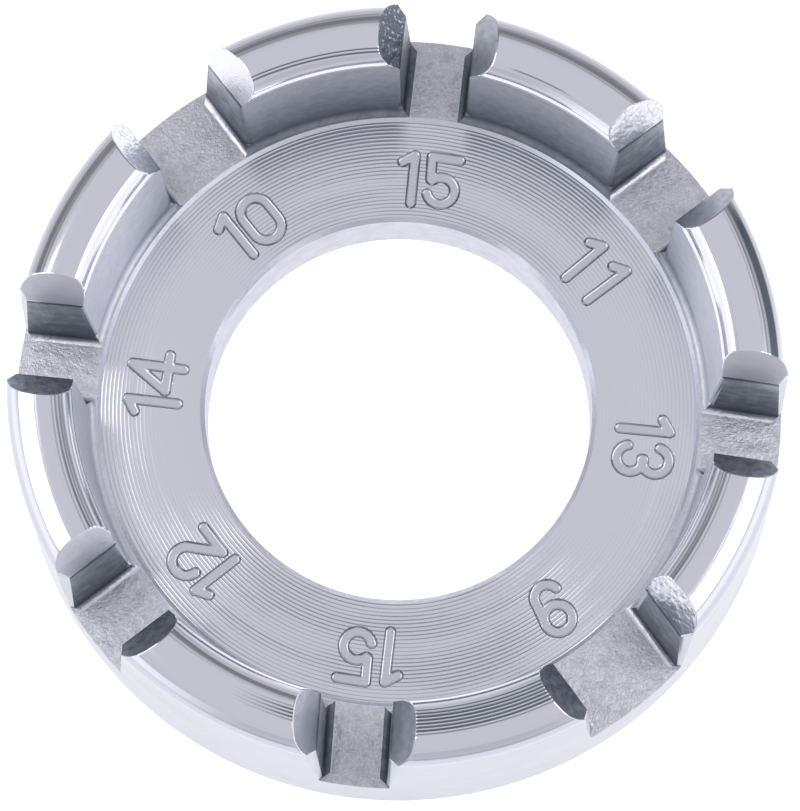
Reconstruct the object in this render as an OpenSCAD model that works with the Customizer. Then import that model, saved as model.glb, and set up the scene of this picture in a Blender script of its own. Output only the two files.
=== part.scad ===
// Round spoke wrench: a turned steel ring with eight jaws standing on its rim.
// The slot between two jaws takes a spoke nipple of one gauge, and the gauge is stamped beside it.
// The axis of the ring is Z, the underside lies on Z = 0 and the slots stand every 45 degrees from +X.

/* [Ring] */
// Diameter of the ring at its underside
ring_d = 52; // [50:0.5:58]
// Diameter of the finger hole in the middle
bore_d = 26.2; // [20:0.1:28]
// Height of the slot floors above the underside
floor_h = 5.45; // [4:0.05:8]
// Depth of the turned web inside the jaws, below the slot floors
web_drop = 0.25; // [0.1:0.05:0.6]
// Bevel at both mouths of the finger hole
bore_bevel = 0.3; // [0.1:0.05:0.8]
// Bevel round the edge of the underside
foot_bevel = 0.25; // [0.1:0.05:0.8]

/* [Jaws] */
// Height of the jaw crowns above the underside
crown_h = 15.55; // [13:0.05:19]
// Width of the rim that the jaws stand on, from the underside's edge in to the jaws' inner walls
rim_w = 5.1; // [4.5:0.05:6]
// How far the outer wall leans in on its way up to the shoulder
outer_lean = 0.45; // [0.1:0.05:0.8]
// How far the inner wall leans out on its way up to the shoulder
inner_lean = 0.35; // [0.1:0.05:0.8]
// Radius of the broad arc across a crown
crown_r = 5; // [3:0.1:12]
// Radius of the shoulders on both sides of a crown
shoulder_r = 1.2; // [0.5:0.05:1.6]
// Fillet round the foot of a jaw, towards its slots and the web
foot_fillet = 0.5; // [0.2:0.05:0.8]
// Width of the flat on an outer corner at the mouth of a slot
corner_top = 0.85; // [0.4:0.05:1.2]
// Width of the same flat at the slot floor
corner_foot = 0.25; // [0.1:0.05:0.4]

/* [Slots] */
// Flat floor of the slot for 9 gauge nipples
flat_9 = 6.3; // [5.5:0.05:7]
// Flat floor of the slot for 10 gauge nipples
flat_10 = 5.4; // [4.8:0.05:6.2]
// Flat floor of the slot for 11 gauge nipples
flat_11 = 4.6; // [4:0.05:5.2]
// Flat floor of the slot for 12 gauge nipples
flat_12 = 4.15; // [3.8:0.05:4.6]
// Flat floor of the slot for 13 gauge nipples
flat_13 = 3.7; // [3.4:0.05:4.2]
// Flat floor of the slot for 14 gauge nipples
flat_14 = 3.5; // [3.2:0.05:3.9]
// Flat floor of the two slots for 15 gauge nipples
flat_15 = 3.3; // [3:0.05:3.6]
// How far each wall leans out between its foot fillet and the mouth
slot_lean = 0.2; // [0.05:0.05:0.4]
// Depth of the ground lead-in at the mouth, below the crown
mouth_drop = 1.8; // [1:0.1:2.4]
// Width of the lead-in on each side of the mouth
mouth_run = 1.6; // [1:0.1:2]

/* [Gauge numbers] */
// Height of a stamped digit, between the middles of its strokes
mark_h = 3.4; // [2.4:0.1:3.8]
// Width of a digit's stroke
mark_stroke = 0.6; // [0.3:0.05:0.8]
// Depth of the stamping
mark_depth = 0.2; // [0.1:0.05:0.4]

/* [Hidden] */
$fn = 180;

// One entry a slot, anticlockwise from +X: the gauge's digits and the width of the flat floor
slots = [[[1, 3], flat_13], [[1, 1], flat_11], [[1, 5], flat_15], [[1, 0], flat_10],
         [[1, 4], flat_14], [[1, 2], flat_12], [[1, 5], flat_15], [[9], flat_9]];
slot_count = len(slots);
slot_step = 360 / slot_count;
// Steps of an arc, and of the fillet towards the web, whose lines stay clear of the slot fillets' lines
arc_steps = 5;
web_arc_steps = 4;

ring_r = ring_d / 2;
bore_r = bore_d / 2;
jaw_bore_r = ring_r - rim_w;
web_r = jaw_bore_r - foot_fillet;
web_h = floor_h - web_drop;
// The numbers stand midway between the finger hole and the edge of the web
mark_r = (bore_r + bore_bevel + web_r - web_drop) / 2;
// The jaws begin where their foot fillets end, and the fillets belong to the ring
jaw_foot_h = floor_h + foot_fillet;
mouth_h = crown_h - mouth_drop;
// How far a cutter runs past the faces that it cuts
overrun = ring_d / 52;

// The crown is one broad arc that meets a shoulder arc on each side
crown_outer_r = ring_r - outer_lean;
crown_inner_r = jaw_bore_r + inner_lean;
crown_mid_r = (crown_outer_r + crown_inner_r) / 2;
shoulder_offset = (crown_outer_r - crown_inner_r) / 2 - shoulder_r;
crown_turn = asin(shoulder_offset / (crown_r - shoulder_r));
shoulder_h = crown_h - crown_r + (crown_r - shoulder_r) * cos(crown_turn);

// Strokes of the stamped digits, as shares of the digit's height, from the middle of the digit.
// A bar runs from one point to another, and a bow is a centre, a radius and its start and end angles.
digit_pitch_share = 0.64;
digit_bar_shares = [
    [[[-0.28, -0.22], [-0.28, 0.22]], [[0.28, -0.22], [0.28, 0.22]]],
    [[[0, -0.5], [0, 0.5]], [[0, 0.5], [-0.24, 0.34]]],
    [[[0.23, 0.06], [-0.3, -0.5]], [[-0.3, -0.5], [0.3, -0.5]]],
    [],
    [[[0.1, -0.5], [0.1, 0.5]], [[0.1, 0.5], [-0.38, -0.2]], [[-0.38, -0.2], [0.36, -0.2]]],
    [[[-0.26, 0.5], [0.3, 0.5]], [[-0.26, 0.5], [-0.24, -0.08]]],
    [], [], [],
    [[[0.28, 0.22], [0.28, -0.22]]]
];
digit_bow_shares = [
    [[[0, 0.22], 0.28, 0, 180], [[0, -0.22], 0.28, 180, 360]],
    [],
    [[[0, 0.22], 0.28, -35, 180]],
    [[[0, 0.24], 0.26, -90, 165], [[0, -0.24], 0.26, -165, 90]],
    [],
    [[[0, -0.22], 0.28, -165, 150]],
    [], [], [],
    [[[0, 0.22], 0.28, 0, 360], [[0, -0.22], 0.28, -165, 0]]
];

// Radii of the outer and inner walls at a height
function outer_r(z) = ring_r - outer_lean * z / shoulder_h;
function inner_r(z) = jaw_bore_r + inner_lean * (z - jaw_foot_h) / (shoulder_h - jaw_foot_h);

// Points along an arc from one angle to another
function arc(centre, r, from, to, steps = arc_steps) =
    [for (i = [0:steps]) let (a = from + (to - from) * i / steps) centre + r * [cos(a), sin(a)]];

// Half the width between the walls of a slot, just above its foot fillets
function wall_half(slot) = slot[1] / 2 + foot_fillet;

// The ring's section, up to the top of the foot fillets
module ring_section() {
    polygon(concat(
        [[bore_r + bore_bevel, 0],
         [ring_r - foot_bevel, 0],
         [outer_r(foot_bevel), foot_bevel],
         [outer_r(jaw_foot_h), jaw_foot_h]],
        arc([web_r, jaw_foot_h], foot_fillet, 0, -90, web_arc_steps),
        [[web_r - web_drop, web_h],
         [bore_r + bore_bevel, web_h],
         [bore_r, web_h - bore_bevel],
         [bore_r, bore_bevel]]
    ));
}

module jaw_section() {
    polygon(concat(
        [[jaw_bore_r, jaw_foot_h],
         [outer_r(jaw_foot_h), jaw_foot_h]],
        arc([crown_mid_r + shoulder_offset, shoulder_h], shoulder_r, 0, 90 - crown_turn),
        arc([crown_mid_r, crown_h - crown_r], crown_r, 90 - crown_turn, 90 + crown_turn),
        arc([crown_mid_r - shoulder_offset, shoulder_h], shoulder_r, 90 + crown_turn, 180)
    ));
}

// One side of a slot's cross-section, from its floor up past the crowns
function slot_side(slot) = concat(
    arc([slot[1] / 2, jaw_foot_h], foot_fillet, -90, 0),
    [[wall_half(slot) + slot_lean, mouth_h],
     [wall_half(slot) + slot_lean + mouth_run * (mouth_drop + overrun) / mouth_drop, crown_h + overrun]]
);

// The room that one slot takes out of the rim, along +X
module slot_room(slot) {
    side = slot_side(slot);
    rotate([90, 0, 90])
        linear_extrude(ring_r + overrun)
            polygon(concat(side, [for (i = [len(side) - 1:-1:0]) [-side[i][0], side[i][1]]]));
}

// The flat ground on the outer corner of a jaw at +Y of a slot: it widens from the floor to the mouth
module corner_flat(slot) {
    foot_y = wall_half(slot);
    top_y = foot_y + slot_lean;
    foot_x = sqrt(pow(outer_r(floor_h), 2) - pow(foot_y, 2));
    top_x = sqrt(pow(outer_r(mouth_h), 2) - pow(top_y, 2));
    foot_in = corner_foot / 2;
    top_in = corner_top / 2;
    draw_in = ((foot_x - top_x) + (top_y - foot_y)) / sqrt(2) + (top_in - foot_in);
    tilt = atan(draw_in / (mouth_h - floor_h));
    reach = 2 * corner_top;
    intersection() {
        translate([foot_x, foot_y, floor_h])
            rotate([0, 0, -45])
                rotate([0, -tilt, 0])
                    translate([-foot_in, -reach, -overrun])
                        cube([reach, 2 * reach, crown_h]);
        translate([0, 0, floor_h]) cube([ring_d, ring_d, crown_h]);
    }
}

// All that a slot takes out of the rim: its room and the flats on the corners beside it
module slot_cut(k) {
    slot = slots[k % slot_count];
    rotate([0, 0, k * slot_step]) {
        slot_room(slot);
        corner_flat(slot);
        mirror([0, 1, 0]) corner_flat(slot);
    }
}

module jaw(k) {
    color("silver")
        difference() {
            rotate([0, 0, k * slot_step]) rotate_extrude(angle = slot_step) jaw_section();
            slot_cut(k);
            slot_cut(k + 1);
        }
}

module bar(from, to) {
    run = to - from;
    translate(from)
        rotate(atan2(run[1], run[0])) {
            translate([0, -mark_stroke / 2]) square([norm(run), mark_stroke]);
            circle(mark_stroke / 2, $fn = 24);
            translate([norm(run), 0]) circle(mark_stroke / 2, $fn = 24);
        }
}

module bow(centre, r, from, to) {
    steps = 12;
    span = 2 * r;
    translate(centre)
        intersection() {
            difference() {
                circle(r + mark_stroke / 2, $fn = 48);
                circle(r - mark_stroke / 2, $fn = 48);
            }
            polygon(concat([[0, 0]], [for (i = [0:steps]) span * [for (turn = [90, 0])
                sin(from + (to - from) * i / steps + turn)]]));
        }
}

module digit(d) {
    for (shares = digit_bar_shares[d]) bar(mark_h * shares[0], mark_h * shares[1]);
    for (shares = digit_bow_shares[d]) bow(mark_h * shares[0], mark_h * shares[1], shares[2], shares[3]);
}

// A gauge number in the web beside its slot, read with its top outward
module gauge_number(digits) {
    pitch = mark_h * digit_pitch_share;
    translate([0, mark_r, web_h - mark_depth])
        linear_extrude(mark_depth + overrun)
            for (i = [0:len(digits) - 1])
                translate([(i - (len(digits) - 1) / 2) * pitch, 0]) digit(digits[i]);
}

module ring() {
    color("silver")
        difference() {
            rotate_extrude() ring_section();
            for (k = [0:slot_count - 1]) {
                slot_cut(k);
                rotate([0, 0, k * slot_step - 90]) gauge_number(slots[k][0]);
            }
        }
}

ring();
jaw(0);  // jaw_13_11
jaw(1);  // jaw_11_15
jaw(2);  // jaw_15_10
jaw(3);  // jaw_10_14
jaw(4);  // jaw_14_12
jaw(5);  // jaw_12_15
jaw(6);  // jaw_15_9
jaw(7);  // jaw_9_13
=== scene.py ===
# %% [markdown]
# # A round spoke wrench
# The wrench is one piece of plated steel: a low ring with a finger hole, and eight jaws on its rim. Between
# two jaws lies a slot for the nipple of a bicycle spoke, and the gauge of that nipple is stamped beside it.
# The real one is turned as a ring with a crowned rim. Its slots are then cut, its numbers are stamped and
# it is plated. This notebook follows the same order, so each surface ends up with the marks of the tool
# that made it.

# %% Load the frame
import math

import bpy
from mathutils import Matrix, Vector, noise


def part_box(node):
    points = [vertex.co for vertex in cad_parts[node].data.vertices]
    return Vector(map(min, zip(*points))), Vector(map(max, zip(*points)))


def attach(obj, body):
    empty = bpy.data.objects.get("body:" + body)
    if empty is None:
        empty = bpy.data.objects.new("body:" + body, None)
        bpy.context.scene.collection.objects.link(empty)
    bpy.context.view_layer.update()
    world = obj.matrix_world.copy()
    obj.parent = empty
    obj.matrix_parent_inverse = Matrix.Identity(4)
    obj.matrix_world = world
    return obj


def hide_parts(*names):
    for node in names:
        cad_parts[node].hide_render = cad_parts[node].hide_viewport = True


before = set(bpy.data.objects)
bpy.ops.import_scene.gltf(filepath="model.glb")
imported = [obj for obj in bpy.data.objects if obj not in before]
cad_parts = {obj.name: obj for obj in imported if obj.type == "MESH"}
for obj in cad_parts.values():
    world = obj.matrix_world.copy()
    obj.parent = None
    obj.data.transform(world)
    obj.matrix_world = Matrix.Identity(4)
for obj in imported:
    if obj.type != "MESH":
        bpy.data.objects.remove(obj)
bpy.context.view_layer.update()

print("nodes in the frame:", sorted(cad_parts))

# %% [markdown]
# ## Sizes
# All modelling is done in millimetres, the unit of a toolmaker's drawing, and brought to metres at the end.
# The overall sizes come from the frame, so the looks follow the solids. The rest are the sizes of the
# tools: fillets, bevels, and how far a wall leans.

# %% Sizes of the blank
MM = 0.001
RING_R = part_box("ring")[1].x / MM
CROWN_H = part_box("jaw_13_11")[1].z / MM
FILLET = 0.5
FLOOR_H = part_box("jaw_13_11")[0].z / MM - FILLET
BORE_R = 13.1
BORE_BEVEL = 0.3
FOOT_BEVEL = 0.25
WEB_DROP = 0.25
RIM_W = 5.1
LAND_W = 0.03
OUTER_LEAN = 0.45
INNER_LEAN = 0.35
CROWN_ARC_R = 5.0
SHOULDER_R = 1.2

WEB_H = FLOOR_H - WEB_DROP
JAW_INNER_R = RING_R - RIM_W
WEB_R = JAW_INNER_R - FILLET - LAND_W
JAW_FOOT_H = FLOOR_H + FILLET
print(f"ring radius {RING_R:.2f}, crown at {CROWN_H:.2f}, slot floors at {FLOOR_H:.2f} mm")

# %% [markdown]
# ## Small helpers
# Edit-mode operators act on what is selected, so most steps are: open the piece, select by place, run the
# operator, close the piece. These helpers do the opening, selecting and closing. By hand it would be done
# with the mouse, but a rule such as "all faces higher than this" still holds after a size has changed.


# %% Helpers for selecting
def only(piece):
    """Make one piece the active and only selected object."""
    bpy.ops.object.select_all(action="DESELECT")
    piece.select_set(True)
    bpy.context.view_layer.objects.active = piece


def pick(piece, kind, wanted):
    """Open a piece with only those vertices, edges or polygons selected that wanted() accepts."""
    only(piece)
    bpy.ops.object.mode_set(mode="EDIT")
    bpy.ops.mesh.select_mode(type={"vertices": "VERT", "edges": "EDGE", "polygons": "FACE"}[kind])
    bpy.ops.mesh.select_all(action="DESELECT")
    bpy.ops.object.mode_set(mode="OBJECT")
    for part in getattr(piece.data, kind):
        part.select = wanted(part)
    bpy.ops.object.mode_set(mode="EDIT")


def pick_all(piece):
    """Open a piece with all of it selected."""
    only(piece)
    bpy.ops.object.mode_set(mode="EDIT")
    bpy.ops.mesh.select_all(action="SELECT")


def close():
    bpy.ops.object.mode_set(mode="OBJECT")


# %% Helpers for shaping
def finish_with(piece, kind, **settings):
    """Add a modifier with these settings and apply it."""
    only(piece)
    modifier = piece.modifiers.new(kind.title(), kind)
    for name, value in settings.items():
        setattr(modifier, name, value)
    bpy.ops.object.modifier_apply(modifier=modifier.name)


def plate(name, outline):
    """A flat face with this outline: a filled circle of as many corners, each moved to its place."""
    bpy.ops.mesh.primitive_circle_add(vertices=len(outline), radius=1, fill_type="NGON")
    piece = bpy.context.object
    piece.name = name
    for corner, place in zip(piece.data.vertices, outline):
        corner.co = place
    return piece


def extrude_to(piece, places):
    """Extrude the last face that was made, and move its corners, in order, to new places."""
    count = len(places)
    first = len(piece.data.vertices) - count
    pick(piece, "vertices", lambda v: v.index >= first)
    bpy.ops.mesh.extrude_region_move()
    close()
    new_first = len(piece.data.vertices) - count
    old_to_new = {}
    for edge in piece.data.edges:
        old, new = sorted(edge.vertices)
        if old < new_first <= new:
            old_to_new[old] = new
    for i, place in enumerate(places):
        piece.data.vertices[old_to_new[first + i]].co = place


def arc(cx, cy, r, start, end, steps):
    """Points along an arc, from one angle to another in degrees."""
    angles = [math.radians(start + (end - start) * i / steps) for i in range(steps + 1)]
    return [(cx + r * math.cos(a), cy + r * math.sin(a)) for a in angles]


# %% [markdown]
# ## The blank
# On the real wrench this is the turned ring, before a slot is cut. Its section runs through the underside,
# the outer wall, the crown and the web, and back along the finger hole. The crown is one broad arc with a
# tighter one at each shoulder. The section could be spun into a ring at once. But a slot's walls are
# parallel planes, and cutting and bevelling them is easiest in a straight bar. So the blank starts as a
# bar, as long as eight pitches, and it is rolled up into a ring once its slots are cut.

# %% Section of the blank
SHOULDER_STEPS = 7
CROWN_STEPS = 8
FILLET_STEPS = 6
crown_out = RING_R - OUTER_LEAN
crown_in = JAW_INNER_R + INNER_LEAN
crown_mid = (crown_out + crown_in) / 2
shoulder_off = (crown_out - crown_in) / 2 - SHOULDER_R
crown_turn = math.degrees(math.asin(shoulder_off / (CROWN_ARC_R - SHOULDER_R)))
shoulder_h = CROWN_H - CROWN_ARC_R + (CROWN_ARC_R - SHOULDER_R) * math.cos(math.radians(crown_turn))


def outer_r(z):
    """The outer wall leans in towards its top."""
    return RING_R - OUTER_LEAN * z / shoulder_h


section = [
    (BORE_R + BORE_BEVEL, 0),
    (RING_R - FOOT_BEVEL, 0),
    (outer_r(FOOT_BEVEL), FOOT_BEVEL),
    *arc(crown_mid + shoulder_off, shoulder_h, SHOULDER_R, 0, 90 - crown_turn, SHOULDER_STEPS),
    *arc(crown_mid, CROWN_H - CROWN_ARC_R, CROWN_ARC_R, 90 - crown_turn, 90 + crown_turn, CROWN_STEPS)[1:-1],
    *arc(crown_mid - shoulder_off, shoulder_h, SHOULDER_R, 90 + crown_turn, 180, SHOULDER_STEPS),
    *arc(JAW_INNER_R - FILLET, JAW_FOOT_H, FILLET, 0, -90, FILLET_STEPS),
    (WEB_R, FLOOR_H),
    (WEB_R - WEB_DROP, WEB_H),
    (BORE_R + BORE_BEVEL, WEB_H),
    (BORE_R, WEB_H - BORE_BEVEL),
    (BORE_R, BORE_BEVEL),
]
print(f"section of {len(section)} points, shoulders at {shoulder_h:.2f} mm")

# %% Straight bar
SLOTS = 8
PITCH = crown_mid * math.tau / SLOTS
bar_start = -PITCH / 2
bar_end = bar_start + SLOTS * PITCH
bar = plate("wrench", [(x, bar_start, z) for x, z in section])
extrude_to(bar, [(x, bar_end, z) for x, z in section])
print(f"bar {bar_end - bar_start:.1f} mm long")

# %% [markdown]
# ## The slots
# A slot takes the square of a nipple, and its mouth is ground wider, so that the nipple finds its way in.
# The jaws could be modelled one by one, but their shape is what the tools leave. So one cutter has the
# shape of the room between two jaws: a flat floor, a fillet, a wall that leans out a little, and the
# lead-in at the mouth. It widens at its outer end at 45 degrees, which leaves the flat that is ground on
# the outer corner of each jaw. The floor's width, that of the nipple's square, is all that differs from
# slot to slot.

# %% Side of a slot
FLATS = {"13": 3.7, "11": 4.6, "15": 3.3, "10": 5.4, "14": 3.5, "12": 4.15, "15b": 3.3, "9": 6.3}
WALL_LEAN = 0.2
MOUTH_DROP = 1.8
MOUTH_RUN = 1.6
MOUTH_ROUND = 0.3
MOUTH_STEPS = 3
OVERRUN = 1.0
mouth_h = CROWN_H - MOUTH_DROP


def slot_side(flat):
    """Half width and height along one side of a slot, from the floor to above the crowns."""
    wall = flat / 2 + FILLET
    side = arc(flat / 2, JAW_FOOT_H, FILLET, -90, 0, FILLET_STEPS)
    lean = math.degrees(math.atan2(WALL_LEAN, mouth_h - JAW_FOOT_H))
    slope = math.degrees(math.atan2(MOUTH_RUN, MOUTH_DROP))
    reach = MOUTH_ROUND * math.tan(math.radians((slope - lean) / 2))
    below = Vector((wall + WALL_LEAN, mouth_h)) - reach * Vector((math.sin(math.radians(lean)), 1))
    centre = below + MOUTH_ROUND * Vector((1, -math.sin(math.radians(lean))))
    side += arc(*centre, MOUTH_ROUND, 180 - lean, 180 - slope, MOUTH_STEPS)
    top = CROWN_H + OVERRUN
    side += [(wall + WALL_LEAN + MOUTH_RUN * (top - mouth_h) / MOUTH_DROP, top)]
    return side


print("side of a slot has", len(slot_side(FLATS["13"])), "points")

# %% Cutter with a wide outer end
CORNER_FOOT = 0.25
CORNER_TOP = 0.85
CUTTER_REACH = 4.0


def corner_line(flat, z):
    """How far out the 45 degree flat starts at a height, measured on the slot's centre line."""
    up = (z - FLOOR_H) / (mouth_h - FLOOR_H)
    leg = (CORNER_FOOT + (CORNER_TOP - CORNER_FOOT) * up) / math.sqrt(2)
    wall = flat / 2 + FILLET + WALL_LEAN * up
    return outer_r(z) - leg - wall


def slot_cutter(name, flat, at):
    """The room of one slot, as a solid that stands across the bar at this distance along it."""
    side = slot_side(flat)
    outline = [(y, z) for y, z in side] + [(-y, z) for y, z in reversed(side)]
    inner_x = WEB_R - FILLET
    outer_x = RING_R + CUTTER_REACH
    cutter = plate(f"cutter_{name}", [(inner_x, at + y, z) for y, z in outline])
    extrude_to(cutter, [(corner_line(flat, z) + abs(y), at + y, z) for y, z in outline])
    half_widths = [math.copysign(outer_x - corner_line(flat, z), y) for y, z in outline]
    extrude_to(cutter, [(outer_x, at + half, z) for half, (_, z) in zip(half_widths, outline)])
    pick_all(cutter)
    bpy.ops.mesh.normals_make_consistent(inside=False)
    close()
    return cutter


# %% Cut the slots
for k, (gauge, flat) in enumerate(FLATS.items()):
    cutter = slot_cutter(gauge, flat, k * PITCH)
    finish_with(bar, "BOOLEAN", operation="DIFFERENCE", solver="EXACT", object=cutter)
    bpy.data.objects.remove(cutter)
print("cut bar has", len(bar.data.polygons), "faces")

# %% [markdown]
# ## Broken edges
# Every edge of the real wrench was tumbled a little before plating, and the upright inner corners of the
# jaws are clearly round. A Bevel modifier would treat all edges alike, so they are picked by place and
# bevelled in two groups. It is done now, while each edge is still a straight run between two clean faces.
# The bar's end faces go first: they will meet in the ring, and their outlines aren't edges of the wrench.
# The outer edges of the slot floors stay sharp, because a bevel there would run out into the corner flats
# and open the mesh.

# %% Open the ends of the bar
HAIR = 0.01


def is_end(face):
    along = [bar.data.vertices[v].co.y for v in face.vertices]
    to_an_end = min(abs(along[0] - bar_start), abs(along[0] - bar_end))
    return max(along) - min(along) < HAIR and to_an_end < HAIR


faces_before = len(bar.data.polygons)
pick(bar, "polygons", is_end)
bpy.ops.mesh.delete(type="FACE")
close()
print("end faces deleted:", faces_before - len(bar.data.polygons))

# %% Round the edges
SHARP_ANGLE = 32
CORNER_ROUND = 0.5
CORNER_SEGMENTS = 4
CORNER_MIN_H = 5
EDGE_ROUND = 0.07
EDGE_SEGMENTS = 2
EDGE_MIN_H = 0.5


def sharpness(piece):
    """By the corners of each edge, the angle between its two faces in degrees."""
    normals = {}
    for face in piece.data.polygons:
        for key in face.edge_keys:
            normals.setdefault(key, []).append(face.normal.copy())
    return {key: math.degrees(pair[0].angle(pair[1])) for key, pair in normals.items() if len(pair) == 2}


def round_edges(piece, width, segments, wanted):
    """Round the sharp edges that wanted(lower end, upper end) accepts."""
    angles = sharpness(piece)
    places = [vertex.co.copy() for vertex in piece.data.vertices]

    def chosen(edge):
        low, high = sorted((places[v] for v in edge.vertices), key=lambda place: place.z)
        return angles.get(tuple(sorted(edge.vertices)), 0) > SHARP_ANGLE and wanted(low, high)

    pick(piece, "edges", chosen)
    bpy.ops.mesh.bevel(offset=width, segments=segments, clamp_overlap=False, miter_outer="ARC")
    close()


def is_inner_corner(low, high):
    return high.z - low.z > CORNER_MIN_H and high.x < crown_mid


round_edges(bar, CORNER_ROUND, CORNER_SEGMENTS, is_inner_corner)
round_edges(bar, EDGE_ROUND, EDGE_SEGMENTS, lambda low, high: low.z > JAW_FOOT_H + EDGE_MIN_H)
for vertex in bar.data.vertices:
    vertex.co.x = min(vertex.co.x, outer_r(vertex.co.z))
print("bar with broken edges has", len(bar.data.polygons), "faces")

# %% [markdown]
# ## A grid for the web and the floors
# Two things come later that move many points of a flat face: the struck digits and the rough skin of the
# floors. A flat face has no points inside. Cuts along the bar lay one set of grid lines, and the cuts
# across it, which it needs anyway to become round, lay the other. To subdivide all of it would spread the
# points over the jaws too, where nothing needs them.

# %% Cuts along the bar
CELL = 0.56
LEVEL = 0.99


def is_flat_top(face):
    """Whether a face is part of the web or of a slot's floor."""
    r, _, z = face.center
    on_web = abs(z - WEB_H) < HAIR and r > BORE_R + BORE_BEVEL
    on_floor = abs(z - FLOOR_H) < HAIR and r > WEB_R + 2 * LAND_W
    return (on_web or on_floor) and face.normal.z > LEVEL


for i in range(1, math.ceil((RING_R - BORE_R) / CELL)):
    pick(bar, "polygons", is_flat_top)
    bpy.ops.mesh.bisect(plane_co=(BORE_R + BORE_BEVEL + i * CELL, 0, 0), plane_no=(1, 0, 0))
    close()
print("bar with lines along it has", len(bar.data.polygons), "faces")

# %% Cuts across the bar
COLUMNS = 22
pick_all(bar)
for i in range(1, SLOTS * COLUMNS):
    bpy.ops.mesh.select_all(action="SELECT")
    bpy.ops.mesh.bisect(plane_co=(0, bar_start + i * PITCH / COLUMNS, 0), plane_no=(0, 1, 0))
close()
print("bar with columns has", len(bar.data.polygons), "faces")

# %% [markdown]
# ## Rolled up
# Now the bar becomes the ring. A Curve or Simple Deform modifier would bend everything, also the walls and
# the ground faces, which are flat on the real wrench. So each point is placed by a rule. Close to a slot it
# keeps its distance from the slot's centre line, and halfway to the next slot the distance turns into an
# angle. The cutter of the real one strayed by up to three degrees, and each slot here is turned as much.
# Where the two ends meet, double points are merged.

# %% Roll the bar up
STRAY = [-1.8, -1.3, 0.2, -1.0, 0.7, -0.7, 2.7, -2.3]
FLAT_REACH = 5.5
MERGE = 0.002


def rolled(place):
    """Where a point of the bar lies in the ring."""
    r, s, z = place
    k = min(SLOTS - 1, max(0, round(s / PITCH)))
    s -= k * PITCH
    stray = math.radians(STRAY[k])
    even = s / PITCH * math.tau / SLOTS
    turn = even
    if r > WEB_R - WEB_DROP - HAIR:
        turn = stray + math.asin((s - crown_mid * math.sin(stray)) / r)
        share = max(0, min(1, (abs(s) - FLAT_REACH) / (PITCH / 2 - FLAT_REACH)))
        turn += (even - turn) * share * share * (3 - 2 * share)
    turn += k * math.tau / SLOTS
    return Vector((r * math.cos(turn), r * math.sin(turn), z))


for vertex in bar.data.vertices:
    vertex.co = rolled(vertex.co)
pick_all(bar)
bpy.ops.mesh.remove_doubles(threshold=MERGE)
bpy.ops.mesh.normals_make_consistent(inside=False)
close()
wrench = bar
print("ring has", len(wrench.data.polygons), "faces")

# %% [markdown]
# ## Places beside the slots
# Digits, floors and mouths all belong to a slot, and differ from one to the next. They are easiest to
# describe as seen with that slot's mouth up: so far to the right of its centre line, and so far out from
# the middle.

# %% There and back
def beside_slot(k, place):
    """A point as right of a slot's centre line, seen with its mouth up, and out from the middle."""
    angle = k * math.tau / SLOTS
    out = place.x * math.cos(angle) + place.y * math.sin(angle)
    right = place.x * math.sin(angle) - place.y * math.cos(angle)
    return Vector((right, out))


def from_slot(k, spot):
    """The opposite: where a spot beside a slot lies in the ring."""
    angle = k * math.tau / SLOTS
    right, out = spot
    x = out * math.cos(angle) + right * math.sin(angle)
    y = out * math.sin(angle) - right * math.cos(angle)
    return Vector((x, y))


def nearest_slot(place):
    return round(math.atan2(place.y, place.x) / math.tau * SLOTS) % SLOTS


print("a point at 16 mm on the first slot's line is at", from_slot(0, (0, 16)))

# %% [markdown]
# ## Finishes
# All of it is one plating over steel, so every finish is the same metal. They differ in the marks below the
# plating: the grooves of a lathe tool on web and crown, the grain of a grinding wheel at the mouths, and
# the forged skin of the slot floors. These marks could be painted on an image, but an image needs an
# unwrapped mesh and has a fixed number of pixels. Noise, and sums worked out from a point's place, are
# sharp at any distance. Each finish is a height in millimetres, which a Bump node turns into light and
# shade, and a tint. The tint holds how tarnished it looks, and on several finishes also painted shade.


# %% Shader maths
class Socket:
    """An output of a node. Numbers add, multiply and so on by way of Math nodes."""

    def __init__(self, shader, output):
        self.shader = shader
        self.output = output

    def math(self, operation, *others):
        return self.shader.add("ShaderNodeMath", {"operation": operation}, (self, *others))

    def __add__(self, other):
        return self.math("ADD", other)

    def __sub__(self, other):
        return self.math("SUBTRACT", other)

    def __rsub__(self, other):
        return self.shader.add("ShaderNodeMath", {"operation": "SUBTRACT"}, (other, self))

    def __mul__(self, other):
        return self.math("MULTIPLY", other)

    def __truediv__(self, other):
        return self.math("DIVIDE", other)

    def __abs__(self):
        return self.math("ABSOLUTE")

    __radd__ = __add__
    __rmul__ = __mul__

    def across(self, start, end, low=0.0, high=1.0):
        """Goes smoothly from low to high while this number goes from start to end."""
        settings = {"interpolation_type": "SMOOTHSTEP"}
        return self.shader.add("ShaderNodeMapRange", settings, (self, start, end, low, high))

    def between(self, start, full, still_full, end):
        """0 up to start, 1 from full to still_full, and 0 again from end on."""
        return self.across(start, full) * self.across(end, still_full)


# %% Nodes
class Shader:
    """A node tree that starts empty."""

    def __init__(self, tree):
        self.tree = tree
        tree.nodes.clear()

    def add(self, kind, settings=None, inputs=(), output=0):
        """Add a node with these settings. Inputs are given in order or by name, as numbers or as sockets."""
        node = self.tree.nodes.new(kind)
        for name, value in (settings or {}).items():
            setattr(node, name, value)
        for name, value in (inputs.items() if isinstance(inputs, dict) else enumerate(inputs)):
            if isinstance(value, Socket):
                self.tree.links.new(value.output, node.inputs[name])
            else:
                node.inputs[name].default_value = value
        return Socket(self, node.outputs[output]) if node.outputs else None

    def mix(self, share, first, second):
        """Mix two colours, which are inputs 6 and 7 of the node."""
        return self.add("ShaderNodeMix", {"data_type": "RGBA"}, {0: share, 6: first, 7: second}, output=2)

    def split(self, vector):
        """The x, y and z of a vector."""
        return [self.add("ShaderNodeSeparateXYZ", inputs=(vector,), output=axis) for axis in range(3)]


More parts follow.
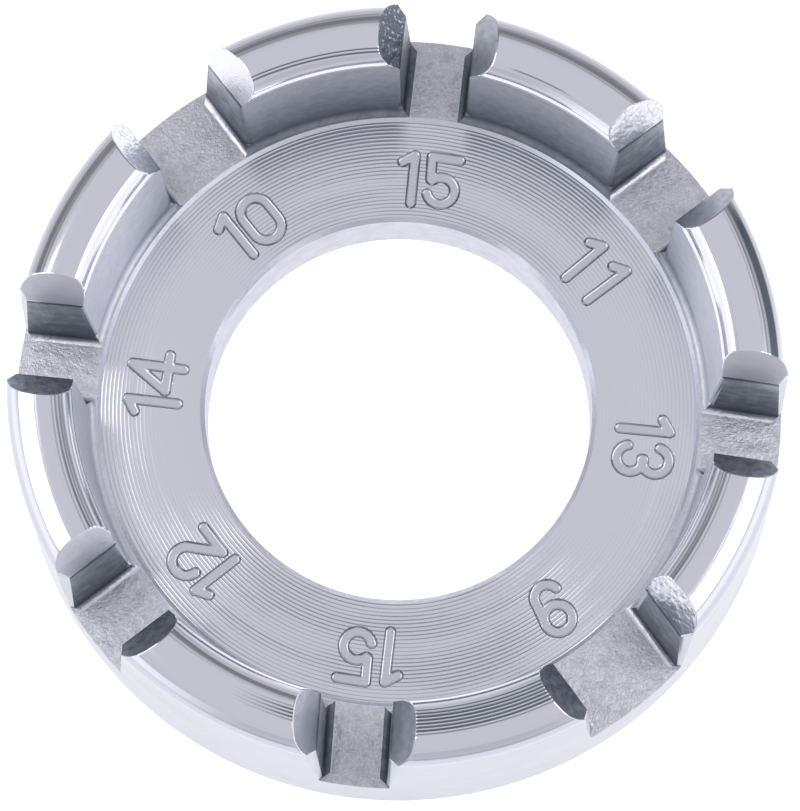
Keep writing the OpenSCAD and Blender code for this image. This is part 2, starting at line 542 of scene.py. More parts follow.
# %% [markdown]
# ### Where a point lies
# Lathe marks follow the ring and grinding marks don't, so a finish needs to know a point's radius and its
# angle round the ring as well as its x, y and z. They come from Object coordinates, which stay with the
# piece.


# %% Places and patterns
class Place:
    """Where a point of the surface lies, in millimetres: x, y, z and its radius r. The angle round the ring
    is in radians, and up goes from -1 at the bottom of the picture to 1 at its top."""

    def __init__(self, shader):
        self.shader = shader
        coords = shader.add("ShaderNodeTexCoord", output="Object")
        self.point = shader.add("ShaderNodeVectorMath", {"operation": "SCALE"}, {0: coords, "Scale": 1 / MM})
        self.x, self.y, self.z = shader.split(self.point)
        self.r = (self.x * self.x + self.y * self.y).math("SQRT")
        self.angle = self.y.math("ARCTAN2", self.x)
        self.up = self.y / self.r

    def noise_at(self, spot, scale, detail):
        inputs = {"Vector": spot, "Scale": scale, "Detail": detail}
        return self.shader.add("ShaderNodeTexNoise", inputs=inputs) - 0.5

    def cloud(self, scale, detail=2.0):
        """Noise between about -0.5 and 0.5, with this many blobs a millimetre."""
        return self.noise_at(self.point, scale, detail)

    def streaks(self, across, along):
        """Noise drawn out round the ring: this many streaks a millimetre across, and a radian along."""
        cosine = self.angle.math("COSINE") * along
        sine = self.angle.math("SINE") * along
        spot = self.shader.add("ShaderNodeCombineXYZ", inputs=(self.r * across, cosine, sine))
        return self.noise_at(spot, 1.0, 2.0)

    def grain(self, across, along):
        """Noise drawn out up and down: this many streaks a millimetre across, and along."""
        drawn_out = (self.x * across, self.y * across, self.z * along)
        return self.noise_at(self.shader.add("ShaderNodeCombineXYZ", inputs=drawn_out), 1.0, 4.0)

    def ridges(self, pitch):
        """1 on the ridges between the grooves of a lathe tool, one every pitch, and 0 in the grooves."""
        wander = self.streaks(0.4, 0.8) * 0.3
        return abs((self.r / pitch + wander).math("FRACT") - 0.5) * 2.0

    def lathe(self, pitch, depth, sharpness):
        """The relief of such grooves, deeper in some fans than in others. The ridges can be sharp."""
        fans = self.streaks(0.8, 1.3).across(-0.25, 0.15, 0.3, 1.0)
        return self.ridges(pitch).math("POWER", sharpness) * depth * fans

    def patch(self, angles, radii):
        """1 inside a patch of the ring: between these angles in radians, and between these radii."""
        return self.angle.between(*angles) * self.r.between(*radii)


def clouds(*layers, base=0.0):
    """Layers of noise on a base. Each layer has its blobs a millimetre, its detail and its strength."""
    def value(place):
        return sum((place.cloud(scale, detail) * strength for scale, detail, strength in layers), base)

    return value


# %% [markdown]
# ### One plating for all
# Nickel or chrome is a metal with a faint colour, and its colour darkens where it looks tarnished or stands
# in the shade. A recipe for every finish would drift apart in colour, so all of them come from one
# function.

# %% Plating
PLATE_COLOUR = (0.755, 0.76, 0.82, 1)
TARNISH_AND_SHADE_COLOUR = (0.15, 0.175, 0.21, 1)
SMEAR_ROUGHNESS = 0.05
TARNISH_AND_SHADE_ROUGHNESS = 0.2
finishes = {}


def plating(name, height, roughness, tint=None):
    """Add a plated finish. height(place) gives its relief in millimetres, tint(place) how tarnished it is
    and how much painted shade it carries.
    """
    steel = bpy.data.materials.new(name)
    steel.use_nodes = True
    shader = Shader(steel.node_tree)
    place = Place(shader)
    # The tint mixes the plating towards one dark colour, for tarnish and for painted shade alike.
    tarnish_and_shade = tint(place) if tint else 0.0
    smears = place.cloud(0.25).across(-0.2, 0.6)
    look = {
        "Base Color": shader.mix(tarnish_and_shade, PLATE_COLOUR, TARNISH_AND_SHADE_COLOUR),
        "Metallic": 1.0,
        "Roughness": smears * SMEAR_ROUGHNESS + roughness + tarnish_and_shade * TARNISH_AND_SHADE_ROUGHNESS,
        "Normal": shader.add("ShaderNodeBump", inputs={"Distance": MM, "Height": height(place)}),
    }
    metal = shader.add("ShaderNodeBsdfPrincipled", inputs=look)
    shader.add("ShaderNodeOutputMaterial", inputs={"Surface": metal})
    finishes[name] = steel
    print("finish:", name)


# %% [markdown]
# ### The turned web
# The web carries the fine grooves of the lathe, like a record. They shine in two fans, at the top and the
# bottom of the picture, and hardly show at its left and right. As geometry they would take a million faces
# for a depth of a fiftieth of a millimetre, so they are relief: a ridge wherever the radius passes a whole
# number of pitches. Inside the struck digits they were pressed flat. The steep sides of the digits, and a
# little the ridges, are darkened with painted shade.

# %% Turned web
WEB_PITCH = 0.26
WEB_GROOVE = 0.02
WEB_SCRATCH = 0.003
FAINT_START_R = 15.5
FAINT_END_R = 19.0
PRESSED_DEPTH = 0.06


def turned_web(place):
    """How strong the grooves are: strong in the fans, and weak and only far out beside them."""
    pressed = (WEB_H - place.z).across(0.0, PRESSED_DEPTH)
    fan = abs(place.up).across(0.4, 0.85) * place.up.across(-0.5, 0.5, 1.3, 0.75)
    faint = (1 - fan) * place.r.across(FAINT_START_R, FAINT_END_R, 0.08, 0.45)
    return (fan + faint) * (1 - pressed * 0.8)


def web_height(place):
    return place.lathe(WEB_PITCH, WEB_GROOVE, 2.0) * turned_web(place) + place.streaks(7, 3) * WEB_SCRATCH


def digit_and_ridge_shade(place):
    """Painted shade on the sides of the digits, which go down from the web, and a little on the lathe ridges.
    """
    depth = WEB_H - place.z
    struck = depth.across(0.01, 0.04) * depth.across(0.1, 0.16, 0.55, 0.15)
    return struck + place.ridges(WEB_PITCH).across(0.6, 0.95) * turned_web(place) * 0.3


# The tint of the turned web is painted shade on the digits' sides and the lathe ridges.
plating("turned web", web_height, 0.16, digit_and_ridge_shade)

# %% [markdown]
# ### The crowns
# The crowns were turned too, but finer, and mostly look like a mirror. What makes them real is where the
# tool failed: it tore broad stripes beside the lower 15 slot, and left single lines on the upper jaws and on
# the right one. The torn stripes are relief, with painted shade between their ridges. The single lines are
# painted shade alone. The lower half also gets painted shade along its inner edge and its outer rim. One
# even pattern would look printed. So each mark is a patch of its own, between two angles and two radii,
# with soft ends. The angles are in radians round the ring, with 0 on the 13 gauge slot.

# %% Torn stripes
CROWN_PITCH = 0.23
CROWN_GROOVE = 0.032
CROWN_SCRATCH = 0.002
TORN_RIGHT = ((-1.58, -1.5, -0.95, -0.85), (21.9, 22.15, 23.6, 23.8))
TORN_LEFT = ((-1.95, -1.7, -1.58, -1.5), (22.7, 22.9, 23.6, 23.8))


def torn(place):
    """Where the tool tore the crowns: on the jaw right of the lower 15 slot, and a little left of it."""
    return place.patch(*TORN_RIGHT) + place.patch(*TORN_LEFT)


def crown_height(place):
    """Torn grooves, fainter ones along the inner edge, and on the lowest jaws along the outer edge."""
    low = place.up.across(-0.5, -0.8)
    inner = (1 - low) * place.r.across(22.5, 22.2) * 0.2
    outer = low * place.r.across(24.6, 24.8) * 0.3
    grooves = place.lathe(CROWN_PITCH, CROWN_GROOVE, 1.5) * (torn(place) * 1.2 + inner + outer + 0.04)
    return grooves + place.streaks(9, 4) * CROWN_SCRATCH


# %% Tool lines
LONG_LINES = ((21.98, 22.03, 22.08, 22.16), (22.22, 22.26, 22.3, 22.36))
LONG_LINES_SPAN = (1.62, 1.75, 2.1, 2.25)
LONG_LINES_DRIFT = 0.35
SHORT_LINE = ((1.12, 1.2, 1.3, 1.36), (21.98, 22.03, 22.08, 22.13))
RIGHT_JAW_SPAN = (0.02, 0.08, 0.45, 0.7)
RIGHT_JAW_STRIPES = (23.8, 24.1, 24.4, 24.6)
RIGHT_JAW_LINE = (24.35, 24.5, 24.75, 24.9)


def tool_line_painted_shade(place):
    """Painted shade along two long lines that drift across the upper left jaw, a short one, and a broad
    one on the right jaw.
    """
    drifting = place.r + (2.0 - place.angle) * LONG_LINES_DRIFT
    first, second = LONG_LINES
    long = (drifting.between(*first) + drifting.between(*second)) * place.angle.between(*LONG_LINES_SPAN)
    return long + place.patch(*SHORT_LINE) * 0.7 + place.patch(RIGHT_JAW_SPAN, RIGHT_JAW_LINE) * 1.4


def crown_marks_and_painted_shade(place):
    """Painted shade between the ridges of the stripes, along the tool lines, and on the rim of the lower
    half.
    """
    inner = place.r.across(22.8, 22.4) * place.up.between(-0.95, -0.8, -0.15, 0.15) * 0.5
    outer = place.patch(RIGHT_JAW_SPAN, RIGHT_JAW_STRIPES) * 0.6
    stripes = (torn(place) + inner + outer) * place.ridges(CROWN_PITCH).across(0.4, 0.6)
    # Painted shade on the outer rim, towards the bottom of the picture.
    rim = place.r.across(25.0, 25.3) * place.up.across(0.2, -0.2) * 0.4
    return stripes + tool_line_painted_shade(place) + rim


plating("turned crown", crown_height, 0.09, crown_marks_and_painted_shade)

# %% [markdown]
# ### The outside
# The outer wall, the bevels and the underside are the smoothest surfaces. A perfectly even wall would look
# like plastic, so it gets slow waves of a hundredth of a millimetre, as polished steel has. It mirrors the
# glowing table, and an even tint brings it from white to the light grey of the photo.

# %% Smooth outside
smooth = clouds((0.5, 2.0, 0.01), (3.0, 2.0, 0.001))
plating("smooth outside", smooth, 0.14, clouds((0.3, 2.0, 0.1), base=0.52))

# %% [markdown]
# ### The mouths
# Each slot has a ground lead-in on both sides, and no two came out alike: some are smooth and bright,
# others grainy, and the left one of the upper 15 slot is pitted. Some of the smooth ones look dark, by the
# way they face the tent, and that darkness is painted shade. One finish for all sixteen would hide that. So
# there are six, from three kinds of relief and several tints, and a table further below says which mouth has
# which.

# %% Six kinds of mouth
ground = clouds((1.2, 2.0, 0.012), (6.0, 4.0, 0.005))
grainy = clouds((3.0, 4.0, 0.016), (0.9, 2.0, 0.03))
pitted = clouds((2.6, 4.0, 0.1), (0.9, 2.0, 0.15))


def specks(place):
    return place.cloud(4.0, 4.0).across(-0.1, 0.2) * 0.3


def pits(place):
    return place.cloud(5.0, 4.0).across(-0.22, 0.02, 0.3, 1.3)


# These four share the ground relief, and their tints are painted shade: none on the first, a little on the
# second, more on the third and the most on the fourth.
plating("bright mouth", ground, 0.22)
plating("ground mouth", ground, 0.28, clouds((0.8, 2.0, 0.1), base=0.12))
plating("mouth in painted shade", ground, 0.25, clouds((2.0, 4.0, 0.5), base=0.62))
plating("mouth in deep painted shade", ground, 0.25, clouds((2.0, 4.0, 0.8), base=0.9))
plating("grainy mouth", grainy, 0.16, specks)
plating("pitted mouth", pitted, 0.16, pits)

# %% [markdown]
# ### The walls of the slots
# The cutter left fine upright scores on these walls. They mirror the wall across the slot more than the
# tent, and in the photo they are the darkest part of the wrench. More bounces of light would darken them
# only a little, so a painted shade helps: strong just above the fillet, weaker further up, and stronger
# again as a painted shadow under the burr that hangs below the mouth. At the slots on the left and right
# of the picture, the foot of the fillet is left out of the painted shade, as a painted highlight line.

# %% Cut walls
WALL_SCORE = 0.03
WALL_GRAIN = 0.02
FOOT_HIGHLIGHT = (0.06, 0.3)
WALL_SHADE_FROM = 0.4
BURR_SHADOW_DROP = (0.5, 0.2)


def cut_height(place):
    return place.grain(3, 0.5) * WALL_SCORE + place.cloud(5, 4.0) * WALL_GRAIN


def painted_wall_shade(place):
    """How much painted shade a wall gets at this height. Heights are measured up from the floor and down
    from the mouth.
    """
    line_start, line_end = (FLOOR_H + rise for rise in FOOT_HIGHLIGHT)
    burr_start, burr_end = (mouth_h - drop for drop in BURR_SHADOW_DROP)
    # Painted highlight: at the slots on the left and right of the picture the foot line stays unshaded.
    foot = abs(place.x / place.r).across(0.3, 0.5, 0.9, 0.0)
    fillet = place.z.across(line_start, line_end, foot, 0.95)
    wall = place.z.across(FLOOR_H + WALL_SHADE_FROM, mouth_h, 1.1, 0.65)
    # Painted shadow under the burr at the mouth.
    burr = place.z.across(burr_start, burr_end, 0.0, 0.4)
    return fillet * wall + place.cloud(1.1, 4.0) * 0.7 + burr


plating("cut wall", cut_height, 0.3, painted_wall_shade)

# %% [markdown]
# ### The inner walls
# These are the walls of the jaws that face the finger hole. They are dull and a little wavy. At the top of
# the picture they face the camera, and the photo shows them dark from the fillet up. The tent would have to
# be dark in front for that, and then the web and the lower crowns would lose their light. So a painted
# shade that grows towards the top of the picture darkens these walls alone.

# %% Dull inner walls
INNER_SHADE_FROM = 0.3


def inner_wall_painted_shade(place):
    # Painted shade, stronger towards the top of the picture, on top of a mottled tone.
    dark = place.z.across(FLOOR_H + INNER_SHADE_FROM, shoulder_h, 0.7, 0.35)
    return place.up.across(0.3, 0.75) * dark + clouds((1.5, 4.0, 0.3), base=0.15)(place)


plating("inner wall", clouds((1.5, 2.0, 0.02), (5.0, 4.0, 0.02)), 0.36, inner_wall_painted_shade)

# %% [markdown]
# ### The slot floors and the finger hole
# The floors still have the skin of the forging: matt, fine-grained and worn in patches. The relief here is
# only the grain. The larger bumps are real geometry, made further below. The finger hole is plain and a
# little dull.

# %% Forged floors and bored hole
def worn(place):
    return place.cloud(1.3, 4.0).across(-0.1, 0.5) * 0.4 + clouds((6.0, 4.0, 0.7), base=0.15)(place)


plating("forged floor", clouds((5.0, 4.0, 0.028), (11.0, 3.0, 0.02)), 0.3, worn)
plating("finger hole", smooth, 0.38, clouds((1.0, 3.0, 0.35), base=0.25))

# %% [markdown]
# ### Which face has which finish
# By hand each face would be clicked and assigned. Here a rule reads where a face lies and which way it
# looks, so it also holds for a wrench of another size. The mouths follow the table, seen with the slot's
# own mouth up.

# %% Which finish
MOUTHS = {
    "13": ("ground mouth", "mouth in deep painted shade"),
    "11": ("grainy mouth", "mouth in painted shade"),
    "15": ("pitted mouth", "mouth in painted shade"),
    "10": ("grainy mouth", "bright mouth"),
    "14": ("mouth in deep painted shade", "ground mouth"),
    "12": ("mouth in deep painted shade", "ground mouth"),
    "15b": ("mouth in painted shade", "bright mouth"),
    "9": ("grainy mouth", "mouth in deep painted shade"),
}
mouth_pairs = list(MOUTHS.values())
FULLY_LEVEL = 0.999
RIM_EDGE = 0.15
# Shares of a face's normal: how far it looks up, sideways along the ring, or inwards to the finger hole.
BORE_MAX_UP = 0.2
STEP_MAX_UP = 0.9
INNER_FILLET_SHARE = 0.72
MOUTH_SIDEWAYS = (0.5, 0.9)
MOUTH_MIN_UP = 0.45
INNER_MIN_INWARD = 0.5
WALL_MIN_SIDEWAYS = 0.85
# How far some finishes reach past the edges that bound them, in millimetres.
MOUTH_EDGE = 0.3
INNER_TOP_GAP = 0.4
BLUR = 0.1


def low_finish(face):
    """The finish of a face of the web, its step or the finger hole."""
    steepness = abs(face.normal.z)
    if steepness < BORE_MAX_UP:
        return "finger hole"
    return "bright mouth" if steepness < STEP_MAX_UP else "turned web"


def finish_of(face):
    """The name of a face's finish, from its place and the way that it looks."""
    middle = face.center
    r = middle.xy.length
    k = nearest_slot(middle)
    sideways = abs(beside_slot(k, face.normal).x)
    inward = -face.normal.xy.dot(middle.xy) / r
    if face.normal.z < -FULLY_LEVEL:
        return "smooth outside"
    if middle.z < FLOOR_H + HAIR and r < WEB_R + LAND_W:
        return low_finish(face)
    if face.normal.z > FULLY_LEVEL and abs(middle.z - FLOOR_H) < HAIR:
        return "forged floor"
    if FLOOR_H < middle.z < JAW_FOOT_H and r < RING_R - RIM_EDGE:
        return "inner wall" if inward > face.normal.xy.length * INNER_FILLET_SHARE else "cut wall"
    is_mouth = MOUTH_SIDEWAYS[0] < sideways < MOUTH_SIDEWAYS[1] and face.normal.z > MOUTH_MIN_UP
    if is_mouth and middle.z > mouth_h - MOUTH_EDGE:
        left, right = mouth_pairs[k]
        return left if beside_slot(k, middle).x < 0 else right
    is_inner = inward > INNER_MIN_INWARD and r < crown_in + BLUR
    if is_inner and JAW_FOOT_H < middle.z < shoulder_h - INNER_TOP_GAP:
        return "inner wall"
    if sideways > WALL_MIN_SIDEWAYS and JAW_FOOT_H - BLUR < middle.z < mouth_h + BLUR:
        return "cut wall"
    return "turned crown" if middle.z > shoulder_h - BLUR else "smooth outside"


# %% Give every face its finish
only(wrench)
wrench.data.materials.clear()
for steel in finishes.values():
    wrench.data.materials.append(steel)
names = [finish_of(face) for face in wrench.data.polygons]
for face, name in zip(wrench.data.polygons, names):
    face.material_index = list(finishes).index(name)
print({name: names.count(name) for name in finishes})

# %% [markdown]
# ## Stamped numbers
# Each digit was struck with its own punch, so no two stand quite level, and a punch leaves a round-bottomed
# groove. Text from a font could be cut out with a Boolean, but it would have flat bottoms and the wrong
# letter forms. Here each digit is drawn as a punch cutter would, in straight strokes and bows. The web is
# cut finely under the strokes, and every point near a stroke sinks to the groove's depth.

# %% Strokes of the digits
# Shares of the digit's height, with its middle at 0, 0: straight strokes, then arcs as centre, radius and
# angles.
BAR_SHARES = {
    "0": [(-0.3, -0.18, -0.3, 0.18), (0.3, -0.18, 0.3, 0.18)],
    "1": [(0, -0.5, 0, 0.5), (0, 0.5, -0.24, 0.34)],
    "2": [(0.21, 0, -0.32, -0.5), (-0.32, -0.5, 0.31, -0.5)],
    "3": [],
    "4": [(0.1, -0.52, 0.1, 0.52), (0.1, 0.52, -0.38, -0.21), (-0.38, -0.21, 0.35, -0.21)],
    "5": [(-0.27, 0.5, 0.3, 0.5), (-0.27, 0.5, -0.23, 0.03)],
    "9": [(0.28, 0.22, 0.17, -0.23)],
}
BOW_SHARES = {
    "0": [(0, 0.18, 0.3, 0, 180), (0, -0.18, 0.3, 180, 360)],
    "1": [],
    "2": [(-0.03, 0.17, 0.29, -35, 180)],
    "3": [(0, 0.25, 0.27, -90, 165), (0, -0.25, 0.27, -165, 90)],
    "4": [],
    "5": [(0, -0.18, 0.28, -160, 137)],
    "9": [(0, 0.22, 0.28, 0, 360), (-0.09, -0.23, 0.26, -170, 0)],
}
# The digits beside each slot: digit, how far to the right and how far out its middle is, and its turn in
# degrees.
STRIKES = {
    "13": [("1", -0.4, 16.7, 1), ("3", 1.62, 16.75, 0)],
    "11": [("1", -0.13, 16.25, 2), ("1", 2.1, 16.4, -1)],
    "15": [("1", -0.89, 16.05, 1), ("5", 1.1, 16.05, -2)],
    "10": [("1", -1.08, 16.25, 0), ("0", 0.83, 16.2, 0)],
    "14": [("1", -1.45, 16.55, 0), ("4", 0.65, 16.5, -1)],
    "12": [("1", -1.37, 16.7, 0), ("2", 0.64, 17.05, -1)],
    "15b": [("1", -1.28, 16.95, 0), ("5", 0.82, 17.05, -3)],
    "9": [("9", 0.54, 17.15, 0)],
}
print("digits to strike:", sum(len(strikes) for strikes in STRIKES.values()))

# %% Runs along the strokes
DIGIT_H = 3.4
BOW_STEP = 12


def strokes_of(digit, right, out, turn):
    """The digit's strokes as short straight runs, in millimetres beside the slot's centre line."""
    runs = [((x0, y0), (x1, y1)) for x0, y0, x1, y1 in BAR_SHARES[digit]]
    for x, y, r, start, end in BOW_SHARES[digit]:
        points = arc(x, y, r, start, end, max(2, round(abs(end - start) / BOW_STEP)))
        runs += zip(points, points[1:])
    place = Matrix.Translation((right, out, 0)) @ Matrix.Rotation(math.radians(turn), 4, "Z")
    return [[(place @ Vector((x * DIGIT_H, y * DIGIT_H, 0))).xy for x, y in run] for run in runs]


def away_from(strokes, spot):
    """The way from the nearest stroke to a spot."""
    nearest = Vector((RING_R, 0))
    for start, end in strokes:
        along = end - start
        share = max(0, min(1, (spot - start).dot(along) / along.length_squared))
        nearest = min(nearest, spot - start - share * along, key=lambda way: way.length)
    return nearest


strokes = [[run for strike in strikes for run in strokes_of(*strike)] for strikes in STRIKES.values()]
print("runs beside each slot:", [len(runs) for runs in strokes])

# %% Cut the web finely under the strokes
GROOVE_HALF = 0.4
# A face is cut if its middle is this share of a cell or less outside a groove.
CELL_SHARE = 0.75
FINE = 8


def on_web(place):
    return abs(place.z - WEB_H) < HAIR and BORE_R + BORE_BEVEL / 2 < place.xy.length < WEB_R - WEB_DROP + HAIR


def under_stroke(face):
    if not on_web(face.center) or face.normal.z < LEVEL:
        return False
    k = nearest_slot(face.center)
    return away_from(strokes[k], beside_slot(k, face.center)).length < GROOVE_HALF + CELL_SHARE * CELL


pick(wrench, "polygons", under_stroke)
bpy.ops.mesh.subdivide(number_cuts=FINE - 1)
close()
print("ring cut for the digits has", len(wrench.data.polygons), "faces")

# %% [markdown]
# A point close to a groove's edge is first drawn onto that edge. Without this the edge would run in steps
# from one grid point to the next. Points further in sink along a quarter of a curve and then lie on the
# level bottom.

# %% Strike the digits
GROOVE_SIDE = 0.17
GROOVE_DEPTH = 0.16
SNAP = 0.6 * CELL / FINE

sunk = 0
for vertex in wrench.data.vertices:
    if on_web(vertex.co):
        k = nearest_slot(vertex.co)
        spot = beside_slot(k, vertex.co)
        way = away_from(strokes[k], spot)
        inside = GROOVE_HALF - way.length
        if abs(inside) < SNAP:
            vertex.co.xy = from_slot(k, spot + way.normalized() * inside)
        elif inside > 0:
            rise = max(0, 1 - inside / GROOVE_SIDE)
            vertex.co.z -= GROOVE_DEPTH * (1 - rise * rise)
            sunk += 1
print("points sunk into the web:", sunk)

# %% [markdown]
# ## Slot floors
# The floors were never ground: they still show the streaky skin of the forging, along the way the steel
# flowed. Some are rougher than others, and all are smoother towards their edges. A Displace modifier would
# move them with one texture for all. Here each floor has its own depth and its own stretch of noise, in
# three sizes.

# %% Roughen the slot floors
FLOOR_SKIN = [0.03, 0.015, 0.01, 0.012, 0.02, 0.03, 0.03, 0.03]
# Noise layers: strength, bumps a millimetre to the right and outwards, and the step from one slot to the
# next.
FLOOR_BUMPS = [(1.0, 1.3, 0.5, 7.3), (0.5, 3.6, 2.4, 3.1), (0.4, 6.5, 5.5, 5.7)]
FLOOR_CUTS = 5
# Less than the height of the lowest facet of a fillet, which stays smooth.
FLOOR_HAIR = 0.005
FADE = 0.5
EDGE_GAP = 0.1
OUTER_GAP = 0.5
floor_halves = [flat / 2 for flat in FLATS.values()]


def on_floor(place):
    return abs(place.z - FLOOR_H) < FLOOR_HAIR and WEB_R + LAND_W < place.xy.length


def skin(k, right, out):
    """How far a floor's skin stands up at a spot. It fades towards the floor's edges."""
    side_gap = floor_halves[k] - abs(right) + EDGE_GAP
    edge_gap = min(side_gap, out - WEB_R - EDGE_GAP, RING_R - OUTER_GAP - out)
    fade = max(0, min(1, edge_gap / FADE))
    bumps = 0
    for strength, across, along, step in FLOOR_BUMPS:
        bumps += strength * noise.noise(Vector((right * across, out * along, k * step)))
    return FLOOR_SKIN[k] * fade * bumps


pick(wrench, "polygons", lambda face: on_floor(face.center) and face.normal.z > LEVEL)
bpy.ops.mesh.subdivide(number_cuts=FLOOR_CUTS)
close()
for vertex in wrench.data.vertices:
    if on_floor(vertex.co):
        k = nearest_slot(vertex.co)
        vertex.co.z += skin(k, *beside_slot(k, vertex.co))
print("ring with rough floors has", len(wrench.data.polygons), "faces")

# %% [markdown]
# ## Smooth and sharp
# Curved faces have to shade as curves and flat ones as flats. Smoothing by angle does most of it, and the
# Weighted Normal modifier keeps the large flat faces even right up to their bevels. Only where a crown
# meets the rounding at its end are the faces too uneven in size for that, so those edges are marked sharp
# first.

# %% To metres, smooth and sharp
SMOOTH_ANGLE = 35
CROWN_END_RISE = 0.2
CROWN_END_ANGLE = 5
ROUND_SHARE = 0.8
wrench.data.transform(Matrix.Scale(MM, 4))
bpy.ops.object.shade_smooth_by_angle(angle=math.radians(SMOOTH_ANGLE))
angles = sharpness(wrench)


def bounds_crown(edge):
    """Whether an edge high up runs across the ring, between a crown and the rounding at its end."""
    low, high = (wrench.data.vertices[v].co for v in edge.vertices)
    round_the_ring = Vector((-low.y, low.x, 0)).normalized()
    is_low = min(low.z, high.z) < (mouth_h + CROWN_END_RISE) * MM
    if is_low or abs((high - low).normalized().dot(round_the_ring)) > ROUND_SHARE:
        return False
    return angles.get(tuple(sorted(edge.vertices)), 0) > CROWN_END_ANGLE


pick(wrench, "edges", bounds_crown)
bpy.ops.mesh.mark_sharp()
close()
finish_with(wrench, "WEIGHTED_NORMAL", mode="FACE_AREA", weight=50, keep_sharp=True)
print("finished ring has", sum(len(face.vertices) - 2 for face in wrench.data.polygons), "triangles")

# %% [markdown]
# The mesh stands for all nodes of the frame: the ring and the eight jaws are regions of one piece of steel,
# and one mesh has no seam where they meet.

# %% Tie it to the frame
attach(wrench, "root")
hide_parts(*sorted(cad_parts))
print("replaces", len(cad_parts), "nodes")

# %% [markdown]
# ## Camera
# The photo is a catalogue picture, taken almost from above with a long lens. The camera stands where the
# photo's stood: its place and turn were fitted to the circles and the jaw corners of the picture. An aim at
# the middle with a Track To constraint would be simpler, but it can't give the small roll of the real
# camera.

# %% Camera
CAMERA_ROLL = -0.40
CAMERA_TILT = -12.62
PHOTO_TURN = 6.65
CAMERA_PLACE = (0.076, 1.306, 272.43)
LENS = 175.7
SENSOR_W = 36
NEAREST = 10


def turned(degrees, axis):
    return Matrix.Rotation(math.radians(degrees), 3, axis)


camera = bpy.data.objects.new("camera", bpy.data.cameras.new("camera"))
bpy.context.collection.objects.link(camera)
turn = (turned(CAMERA_ROLL, "Y") @ turned(CAMERA_TILT, "X") @ turned(-PHOTO_TURN, "Z")).transposed()
camera.matrix_world = Matrix.Translation(turn @ Vector(CAMERA_PLACE) * MM) @ turn.to_4x4()
camera.data.lens = LENS
camera.data.sensor_width = SENSOR_W
camera.data.clip_start = NEAREST * MM
bpy.context.scene.camera = camera
print("camera at", camera.matrix_world.translation)

# %% [markdown]
# ## Table and light
# The wrench lies on a table that glows like a light table, so that all round it the picture is pure white.
# The table lies a hair below the underside, because two faces in one plane flicker. The picture was lit in
# a small tent. Its roof gives the flat faces one even grey. A white card on the left and one on the lower
# right, close above the wrench, give the crowns there a white band. Polished metal shows its surroundings
# more than its own colour, so each of these is placed by what it does on the crowns. An image of a studio
# could light it too, but it can't be moved until a band sits where the photo has it.

# %% Table
TABLE_W = 3
TABLE_GAP = 0.05
bpy.ops.mesh.primitive_plane_add(size=TABLE_W, location=(0, 0, -TABLE_GAP * MM))
table = bpy.context.object
table.name = "table"
paper = bpy.data.materials.new("paper")
paper.use_nodes = True
shader = Shader(paper.node_tree)
look = {
    "Base Color": (0.92, 0.92, 0.93, 1),
    "Roughness": 0.9,
    "Emission Color": (1, 1, 1, 1),
    "Emission Strength": 0.6,
}
sheet = shader.add("ShaderNodeBsdfPrincipled", inputs=look)
shader.add("ShaderNodeOutputMaterial", inputs={"Surface": sheet})
table.data.materials.append(paper)
print("table at", table.location)

# %% Cards
CARD_RADIANCE = 1.3
# Each card: the place of its middle and its two sides in millimetres, and its turn in degrees, as in the
# picture.
CARDS = {
    "left card": ((-80, 9, 115), (74, 66), 0),
    "right card": ((76, -13.8, 115), (68, 66), -20),
}


def card(name, middle, sides, turn):
    """A white card that lies level above the wrench and shines down on it."""
    light = bpy.data.objects.new(name, bpy.data.lights.new(name, "AREA"))
    bpy.context.collection.objects.link(light)
    light.data.shape = "RECTANGLE"
    light.data.size, light.data.size_y = (side * MM for side in sides)
    light.data.energy = CARD_RADIANCE * math.pi * light.data.size * light.data.size_y
    light.visible_camera = False
    spot = Matrix.Rotation(math.radians(PHOTO_TURN), 4, "Z") @ Matrix.Translation(Vector(middle) * MM)
    light.matrix_world = spot @ Matrix.Rotation(math.radians(turn), 4, "Z")
    print(name, f"gives {light.data.energy:.4f} W")


for name, (middle, sides, turn) in CARDS.items():
    card(name, middle, sides, turn)

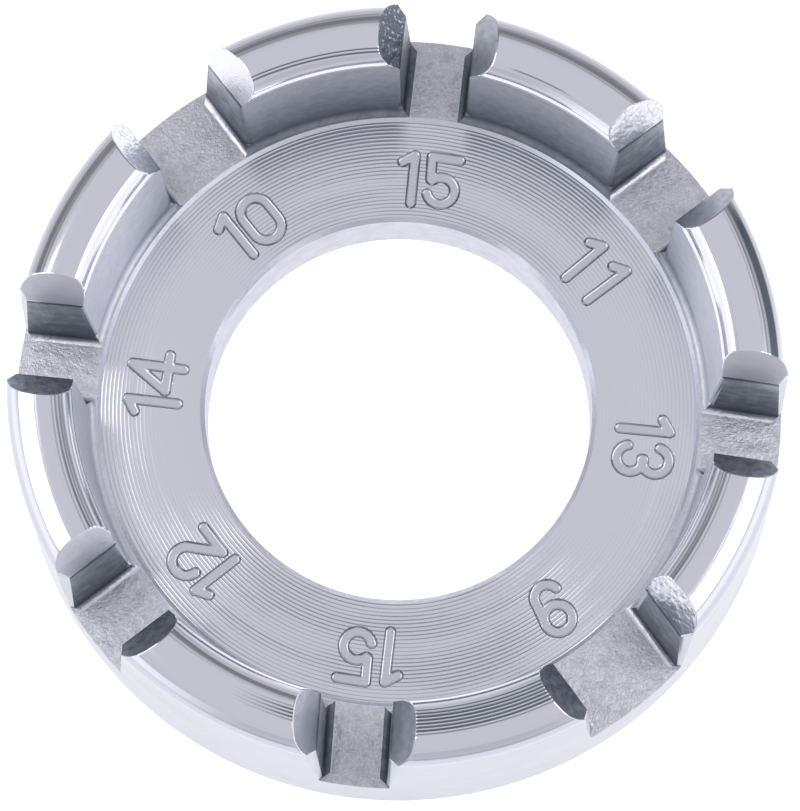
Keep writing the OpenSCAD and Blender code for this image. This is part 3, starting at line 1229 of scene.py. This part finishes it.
# %% [markdown]
# ### The tent
# The tent is the world itself, as a brightness that depends on the direction. Towards the top of the
# picture it is bright overhead, dark beyond the roof, and lighter again down to the table. That dark strip
# gives a crown its dark band wherever the crown slopes towards the top of the picture. Towards the bottom
# the tent stays bright all the way down. Walls of cloth could be modelled instead, but each would need its
# own light, and a formula is quicker to adjust.

# %% Tent
# Each part: the angles from the zenith between which it changes, and its strength at the first and at the
# second.
ROOF_EDGE = (26, 37, 0.75, 0.25)
BACK_WALL = (40, 52, 0, 0.38)
BACK_FOOT = (50, 90, 0, 0.34)
FRONT_ROOF = (25, 50, 0.75, 0.64)
FRONT_FOOT = (60, 90, 0, 0.15)
SIDE_WALLS = (36, 62, 0, 0.6)
# Shares of the way to the top or to the side of the picture, between which one part turns into another.
UPPER_SHARES = (0.1, 0.5)
SIDE_SHARES = (0.45, 0.8)
TENT_COLOUR = (0.945, 0.95, 1, 1)

world = bpy.data.worlds.new("tent")
bpy.context.scene.world = world
world.use_nodes = True
shader = Shader(world.node_tree)
x, y, z = shader.split(shader.add("ShaderNodeTexCoord", output="Generated"))
cosine = math.cos(math.radians(PHOTO_TURN))
sine = math.sin(math.radians(PHOTO_TURN))
picture_up = y * cosine - x * sine
picture_right = x * cosine + y * sine
level = (x * x + y * y).math("SQRT").math("MAXIMUM", 0.001)
from_zenith = level.math("ARCTAN2", z) * math.degrees(1)

# %% Light of the tent
upper = (picture_up / level).across(*UPPER_SHARES)
back = from_zenith.across(*ROOF_EDGE) + from_zenith.across(*BACK_WALL) + from_zenith.across(*BACK_FOOT)
sides = abs(picture_right / level).across(*SIDE_SHARES) * from_zenith.across(*SIDE_WALLS)
front = from_zenith.across(*FRONT_ROOF) + from_zenith.across(*FRONT_FOOT) + sides
strength = upper * back + (1 - upper) * front
sky = shader.add("ShaderNodeBackground", inputs={"Color": TENT_COLOUR, "Strength": strength})
shader.add("ShaderNodeOutputWorld", inputs={"Surface": sky})
print("tent of", len(world.node_tree.nodes), "nodes")

# %% [markdown]
# ## Colours
# The Standard view shows colours as a catalogue prints them, with white as white.

# %% Plain colours
bpy.context.scene.view_settings.view_transform = "Standard"
